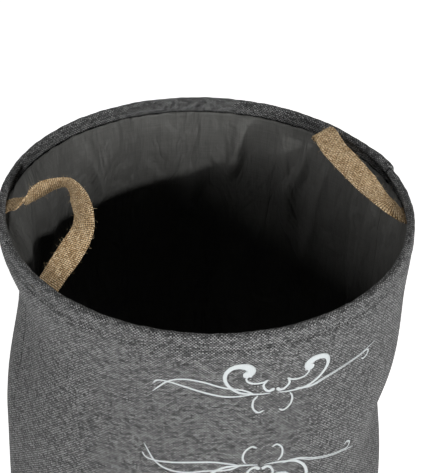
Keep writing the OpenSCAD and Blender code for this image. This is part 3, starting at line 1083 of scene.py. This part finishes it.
# %% The straps' stations, in millimetres from the middle of each hinge line
LEFT_STRAP = [
    (-11, 72, 5, 0.39, 0.92, 0), (-11, 72, -1, 0.39, 0.92, 0),
    (-9.6, 71.8, -3.6, 0.4, 0.92, -0.04), (-6.8, 71.4, -2.4, 0.42, 0.9, -0.1),
    (-2.9, 69.5, 0.2, 0.44, 0.89, -0.13), (0.4, 65.1, 2.6, 0.45, 0.88, -0.14),
    (4.5, 63.2, 5.0, 0.49, 0.84, -0.23), (7.0, 62.4, 6.8, 0.31, 0.76, -0.57),
    (8.6, 60.7, 8.4, 0.06, 0.58, -0.81), (13.4, 62.0, 11.6, 0.10, 0.42, -0.90),
    (24.5, 62.5, 16.5, 0.2, 0.37, -0.9), (34.5, 60, 21, 0.25, 0.5, -0.83),
    (43, 54, 25, 0.25, 0.55, -0.8), (46, 43, 27, 0.05, 0.4, -0.92),
    (46.5, 30, 27, -0.28, 0.35, -0.9), (47, 18, 26, -0.45, 0.48, -0.76),
    (45.5, 4, 23, -0.52, 0.6, -0.6), (41.5, -8, 19, -0.56, 0.76, -0.34),
    (36, -16, 15.5, -0.62, 0.77, -0.16), (28, -24, 11.5, -0.66, 0.75, 0.0),
    (17.5, -34, 7, -0.62, 0.78, 0.04), (7, -43.5, 3.4, -0.5, 0.87, 0),
    (-1.5, -51.5, 0.4, -0.42, 0.9, 0), (-7.5, -57, -3.2, -0.36, 0.93, 0),
    (-11.2, -59.8, -5.2, -0.33, 0.95, 0), (-13.6, -60.6, -4, -0.33, 0.95, 0),
    (-14.5, -60.7, -1, -0.33, 0.95, 0), (-14.6, -60.7, 5, -0.33, 0.95, 0),
]
RIGHT_STRAP = [
    (-14.6, 60.7, 5, 0.33, 0.95, 0), (-14.4, 60.7, -2, 0.33, 0.95, 0),
    (-13, 60.5, -4.8, 0.33, 0.95, 0), (-10, 59.5, -5, 0.3, 0.95, 0),
    (-6, 58.5, -2.5, 0.2, 0.97, 0), (-1, 59, 2, 0.0, 1.0, 0.05), (4, 62, 6.5, -0.3, 0.95, 0.08),
    (8.5, 66.5, 9.8, -0.6, 0.8, 0.1), (11.5, 70.5, 11.6, -0.8, 0.6, 0.1),
    (13.6, 73.2, 14.2, -0.93, 0.36, 0.12), (13.4, 70.5, 17.2, -0.95, 0.25, 0.12),
    (13.2, 64, 17.8, -0.96, 0.16, 0.13), (14, 54, 17, -0.99, 0.08, 0.15),
    (14.4, 42, 16, -0.99, 0.06, 0.16), (12.6, 26, 14.8, -0.96, 0.14, 0.2),
    (10, 10, 12.8, -0.97, 0.16, 0.18), (7.6, -4, 10.8, -0.98, 0.1, 0.12),
    (5.4, -19, 8.8, -0.96, 0.26, 0), (4, -30, 7.6, -0.93, 0.33, -0.14),
    (1.6, -40, 6.2, -0.87, 0.45, -0.2), (-2.4, -48.4, 4, -0.68, 0.72, -0.1),
    (-7.2, -52.6, 0.4, -0.44, 0.9, 0), (-12, -53.8, -3.8, -0.3, 0.95, 0),
    (-15.4, -53.6, -4.8, -0.3, 0.95, 0), (-17, -53.4, -1, -0.3, 0.95, 0),
    (-17.1, -53.4, 5, -0.3, 0.95, 0),
]
WARP_PITCH = 2.2 * MM
WEFT_PITCH = 1.95 * MM
YARN_WIDTH = 0.70
YARN_RELIEF = 0.4 * MM


# %% [markdown]
# ## Weaving the strap
#
# A smooth curve through the stations gives the middle line and the direction of the width. The face's
# own normal then comes from the surface, so the relief stands straight up even where the strap twists.


# %% Weave a strap
def smooth_path(stations, per_step):
    """A smooth curve through rows of numbers, each row weighed from its four nearest."""
    rows = np.array(stations, float)
    ends = np.vstack([2 * rows[0] - rows[1], rows, 2 * rows[-1] - rows[-2]])
    pieces = []
    for i in range(len(rows) - 1):
        a, b, c, d = ends[i], ends[i + 1], ends[i + 2], ends[i + 3]
        t = np.linspace(0, 1, per_step, endpoint=False)[:, None]
        pieces.append(0.5 * (2 * b + (c - a) * t + (2 * a - 5 * b + 4 * c - d) * t ** 2
                             + (3 * b - a - 3 * c + d) * t ** 3))
    return np.vstack(pieces + [rows[-1:]])


def even_steps(path, step):
    """The same path, with its points an even distance apart along its middle line."""
    length = np.concatenate([[0], np.cumsum(np.linalg.norm(np.diff(path[:, :3], axis=0), axis=1))])
    at = np.linspace(0, length[-1], int(length[-1] / step) + 1)
    return np.stack([np.interp(at, length, path[:, i]) for i in range(path.shape[1])], axis=-1), at


def weave_height(across, along):
    """The plain weave's relief, from 0 to 1, as the weave group works it out."""
    u, v = across / WARP_PITCH, along / WEFT_PITCH
    warp = 1 - ((u - np.floor(u) - 0.5) / (YARN_WIDTH / 2)) ** 2
    weft = 1 - ((v - np.floor(v) - 0.5) / (YARN_WIDTH / 2)) ** 2
    over = (np.floor(u) + np.floor(v)) % 2
    return np.maximum(np.maximum(warp * (0.4 + 0.6 * over), weft * (1.0 - 0.6 * over)), 0)


def weave_strap(name, stations, side):
    path = smooth_path(stations, 12)
    path[:, :3] *= MM
    path, along = even_steps(path, 0.42 * MM)
    middle = np.stack([side * (hinge_x - path[:, 0]), path[:, 1], hinge_z + path[:, 2]], axis=-1)
    width = np.stack([-side * path[:, 3], path[:, 4], path[:, 5]], axis=-1)
    width /= np.linalg.norm(width, axis=1, keepdims=True)
    across = np.linspace(-strap_w / 2, strap_w / 2, 55)
    ragged = 0.35 * MM * np.sin(along / (1.9 * MM)) * np.sin(along / (5.3 * MM) + 1)
    edge_side = np.sign(across) * (np.abs(across) > strap_w / 2 - 1 * MM)
    spread = 1 + ragged[:, None] * edge_side[None, :] / strap_w
    centre = middle[:, None, :] + width[:, None, :] * (across[None, :] * spread)[..., None]
    face = np.cross(width[:, None, :], np.gradient(centre, axis=0))
    face /= np.linalg.norm(face, axis=2, keepdims=True)
    relief = weave_height(across[None, :] + strap_w, along[:, None])
    rounded = np.sqrt(np.clip(1 - (np.abs(across) / (strap_w / 2)) ** 10, 0.02, 1))[None, :]
    half = (strap_t / 2 - 0.32 * MM) * rounded + YARN_RELIEF * relief
    top = centre + face * half[..., None]
    under = centre - face * half[..., None]
    uv = np.stack(np.broadcast_arrays(across[None, :] + strap_w, along[:, None]), axis=-1)
    made = make_shell(name, top, under, uv, jute_webbing, turned=True)
    print(f"{name}: {along[-1] * 1000:.0f} mm long, {len(made.data.polygons)} faces")
    return made, along[-1]


left_strap, left_length = weave_strap("jute_strap_left", LEFT_STRAP, -1)
right_strap, right_length = weave_strap("jute_strap_right", RIGHT_STRAP, 1)

# %% [markdown]
# ## Stray fibres
#
# Jute is hairy: short fibres stand off the webbing everywhere. Modelling them by hand would be endless, and
# a particle system doesn't export. Geometry Nodes scatter points over the strap with a fixed seed, stand a
# thin three-sided spike on each, and lean it over by a random angle.


# %% Scatter the fibres
def make_fuzz_tree():
    tree, given, sockets = new_geometry_tree("scatter_fibres", {
        "Webbing": ("Geometry", None), "Density": ("Float", 4.5e4), "Length": ("Float", 5.6 * MM),
        "Thickness": ("Float", 0.12 * MM), "Seed": ("Int", 11), "Fibre": ("Material", None)})
    spread = add_node(tree, "GeometryNodeDistributePointsOnFaces", {
        "Mesh": given["Webbing"], "Density": given["Density"], "Seed": given["Seed"]})
    spike = add_node(tree, "GeometryNodeMeshCone", {
        "Vertices": 3, "Side Segments": 2, "Radius Top": 0.2, "Radius Bottom": 1.0, "Depth": 1.0})
    lean = add_node(tree, "FunctionNodeRandomValue", {
        "Min": (-1.25, -1.25, -3.1), "Max": (1.25, 1.25, 3.1), "Seed": given["Seed"]},
        data_type="FLOAT_VECTOR")
    share = add_node(tree, "FunctionNodeRandomValue", {2: 0.4, 3: 1.0, "Seed": given["Seed"]})
    tall = add_node(tree, "ShaderNodeMath", {0: given["Length"], 1: share.outputs[1]}, operation="MULTIPLY")
    size = add_node(tree, "ShaderNodeCombineXYZ", {
        0: given["Thickness"], 1: given["Thickness"], 2: tall.outputs[0]})
    place_copies(tree, spread.outputs["Points"], spike.outputs["Mesh"], spread.outputs["Rotation"],
                 lean.outputs["Value"], size.outputs[0], given["Fibre"])
    return tree, sockets


fuzz_tree, fuzz_sockets = make_fuzz_tree()


def fibres_on(strap, name, seed):
    """The stray fibres of one strap, as a plain mesh."""
    return run_tree(strap.copy(), fuzz_tree, fuzz_sockets, name, {"Seed": seed, "Fibre": jute_fibre})


left_fibres = fibres_on(left_strap, "jute_fibres_left", 11)
right_fibres = fibres_on(right_strap, "jute_fibres_right", 12)


# %% [markdown]
# ## The print
#
# The front carries a pale scroll ornament, printed a little out of level. It is drawn here from a few
# generic scrolls, mirrored left to right. Each stroke is a smooth line with its own widths, laid on the
# cloth as a skin a fraction of a millimetre thick, so it bends and folds with the wall.

# %% The strokes, in millimetres from the ornament's centre: across, up, width
STROKES = [
    [(3, -19, 0.8), (12, -19.5, 1.4), (22, -19, 1.8), (33, -17, 2.2), (42, -11, 2.6),
     (47.5, -3, 3.0), (48.5, 5, 3.6), (45, 12, 4.6), (38.5, 15, 5.8), (31, 14, 7.4),
     (27, 9.5, 8.2), (29, 5.2, 8.0), (33.5, 5.5, 6.0)],
    [(9, -3, 1.6), (14, -6, 1.8), (21, -6.5, 1.8), (27, -4.5, 1.8), (29.5, -0.5, 1.6),
     (27.8, 2.6, 1.6), (24.6, 2, 1.4)],
    [(9, -3, 1.2), (12.3, -9, 2.0), (9.5, -14.5, 2.2), (5.5, -16.5, 2.4), (2.6, -15, 3.4),
     (3.2, -13.6, 2.4)],
    [(15, -21, 1.4), (18.5, -27, 1.8), (17.5, -35, 1.8), (12, -40, 1.6), (7, -38, 1.4)],
]
LEFT_STROKES = [
    [(20, -18.5, 1.8), (31, -14, 1.6), (49, -11.2, 1.6), (66, -6.3, 1.6), (83, -5.6, 1.5),
     (96, -11.8, 1.4), (108, -28, 1.2)],
    [(22, -20, 1.4), (44, -22, 1.6), (66, -18.2, 1.7), (80, -14.7, 1.6), (94.6, -11.9, 1.5),
     (104, -12.6, 1.2), (108.5, -17.5, 1.0)],
]
RIGHT_STROKES = [
    [(20, -17.5, 1.4), (35, -18.4, 1.2), (50, -13.2, 1.0), (70, -7.9, 0.9), (92, -3.5, 0.8),
     (105, -0.4, 0.8), (113, 1.5, 0.6)],
    [(22, -19, 1.4), (38, -18.8, 1.2), (54, -13.6, 1.0), (72, -9, 0.8), (92, -5, 0.9),
     (102, -3.6, 1.3), (104, -8.6, 1.6), (99, -12, 1.7), (95, -10, 1.1)],
]
PRINT_ANGLE = -91.5
PRINT_Z = 447 * MM
PRINT_SLANT = -6.2
PRINT_DROP = 118
PRINT_PROUD = 0.22 * MM
PRINT_SUNK = -0.1 * MM


def stroke_strip(stroke, mirror, flip):
    """Centre line and half-width direction of one stroke, in millimetres, mirrored where asked."""
    path = smooth_path(stroke, 14)
    path[:, 2] = np.maximum(path[:, 2], 0.5)
    heading = np.gradient(path[:, :2], axis=0)
    heading /= np.linalg.norm(heading, axis=1, keepdims=True)
    side = np.stack([-heading[:, 1], heading[:, 0]], axis=-1)
    round_end = np.sqrt(1 - np.linspace(1, 0, 9) ** 2)
    taper = np.ones(len(path))
    taper[:9] = round_end
    taper[-9:] = round_end[::-1]
    half = side * (path[:, 2] / 2 * taper)[:, None]
    shares = np.linspace(-1, 1, 5)
    strip = path[:, None, :2] + half[:, None, :] * shares[None, :, None]
    strip = strip * np.array([mirror, flip]) - np.array([0, PRINT_DROP * (flip < 0)])
    return strip


def lay_print():
    points, faces, uvs = [], [], []
    slant = math.radians(PRINT_SLANT)
    turn = np.array([[math.cos(slant), math.sin(slant)], [-math.sin(slant), math.cos(slant)]])
    for flip in (1, -1):
        for mirror in (1, -1):
            for stroke in STROKES + (RIGHT_STROKES if mirror > 0 else LEFT_STROKES):
                strip = stroke_strip(stroke, mirror, flip) @ turn * MM
                angle = PRINT_ANGLE + np.degrees(strip[..., 0] / body_r)
                height = PRINT_Z + strip[..., 1]
                faces += shell_faces(*angle.shape, turned=mirror * flip < 0, first=len(points))
                for proud in (PRINT_PROUD, PRINT_SUNK):
                    skin = on_tube(angle, tube_radius(angle, height) + proud, height)
                    points += skin.reshape(-1, 3).tolist()
                    uvs.append(np.stack([np.radians(angle) * body_r, height], axis=-1).reshape(-1, 2))
    return make_object("scroll_print", points, faces, np.concatenate(uvs), pale_print)


scroll_print = lay_print()
print("print has", len(scroll_print.data.polygons), "faces")


# %% [markdown]
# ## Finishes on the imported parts
#
# The hoop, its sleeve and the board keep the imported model's own shapes. They only need their finishes.


# %% Finish the hoop, sleeve and board
def finish_node(node, material):
    slots = frame["nodes"][node].material_slots
    if not slots:
        frame["nodes"][node].data.materials.append(material)
    for slot in slots:
        slot.link = "OBJECT"
        slot.material = material


finish_node("rim_hoop", drawn_wire)
finish_node("rim_hoop_ferrule", crimped_brass)
finish_node("base_board", pressed_board)


# %% [markdown]
# ## What moves with what
#
# The rim slides down as the hamper is pressed flat, and the walls shorten under it; the straps turn with
# their handles, while their ends stay in the hem. Here the walls, seams, lining, base and print go with the
# base, and the rim's roll and its stitches go with the rim; the imported parts they replace are hidden. The
# straps and their fibres are baked in place, and the imported handles and strap tabs are hidden.

# %% Tie every piece to its body
PLACES = [
    # piece, the body it moves with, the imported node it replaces, the slot of its finish
    (front_panel, "base", "outer_wall_front", "outer_cloth"),
    (back_panel, "base", "outer_wall_back", "outer_cloth"),
    (left_seam, "base", "side_seam_left", "outer_cloth"),
    (right_seam, "base", "side_seam_right", "outer_cloth"),
    (lining_front, "base", "lining_front", "lining"),
    (lining_back, "base", "lining_back", "lining"),
    (base_cloth, "base", "base_outer", "base_cloth"),
    (base_lining_cloth, "base", "base_lining", "lining"),
    (base_binding, "base", "base_binding", "binding"),
    (base_stitches, "base", "base_stitching", "thread"),
    (scroll_print, "base", None, "outer_cloth"),
    (casing_front, "rim", "rim_casing_front", "outer_cloth"),
    (casing_back, "rim", "rim_casing_back", "outer_cloth"),
    (hem_stitches, "rim", "rim_stitching", "thread"),
]
for piece, body, node, slot in PLACES:
    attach(piece, body)
    if node:
        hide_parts(node)
for piece in (front_panel, back_panel, left_seam, right_seam, lining_front, lining_back, scroll_print):
    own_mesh(piece)


def bend_with_handle(piece):
    """Bakes the piece's placement into its mesh; the piece is tied to no body."""
    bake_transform(piece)


for strap, side, name in ((left_strap, -1, "left"), (right_strap, 1, "right")):
    bend_with_handle(strap)
    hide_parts("strap_tabs_" + name, "handle_" + name)
bend_with_handle(left_fibres)
bend_with_handle(right_fibres)
